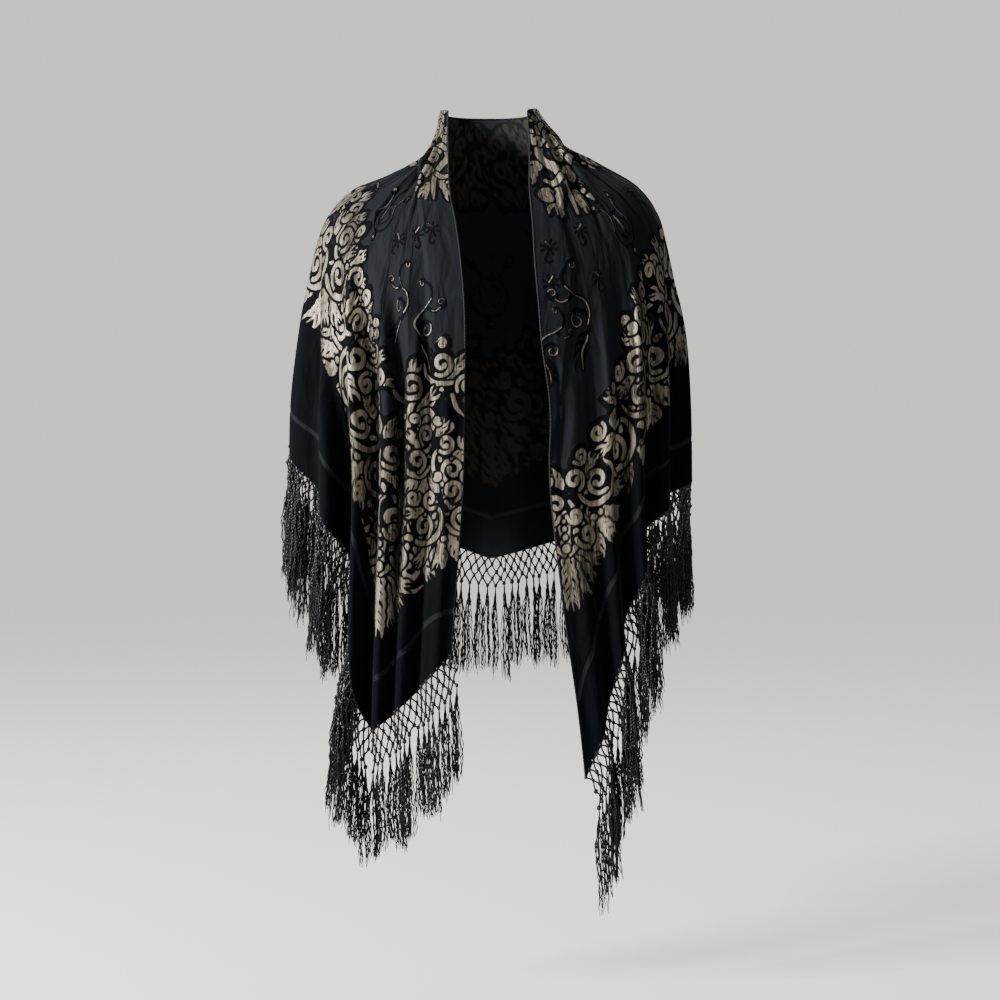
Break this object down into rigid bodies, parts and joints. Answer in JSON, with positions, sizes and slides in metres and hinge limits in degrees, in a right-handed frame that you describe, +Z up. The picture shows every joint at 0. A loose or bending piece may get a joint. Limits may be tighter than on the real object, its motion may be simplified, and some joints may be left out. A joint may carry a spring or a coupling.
{
  "type": "burnout velvet shawl with knotted fringe, in its worn hollow form",
  "caption": "Fringed burnout velvet shawl worn open at the front, falling to a corner at each front and a soft point at the back.",
  "frame": {"origin": "the nape: the middle of the neck edge at the back, where the shawl rests on its wearer", "axes": "+Z up, the open front faces -Y, the wearer's right shoulder is towards -X"},
  "size_m": [0.48, 0.2715, 0.9202],
  "materials": {
    "burnout_velvet": "rayon velvet burned out to a charcoal chiffon ground, black border, taupe scrolls",
    "fringe_yarn": "black viscose yarn, knotted, slightly glossy"
  },
  "bodies": {
    "root": {"shawl_cloth": "burnout_velvet", "fringe_left_inner": "fringe_yarn", "fringe_left_outer": "fringe_yarn", "fringe_back": "fringe_yarn", "fringe_right_outer": "fringe_yarn"}
  },
  "joints": []
}
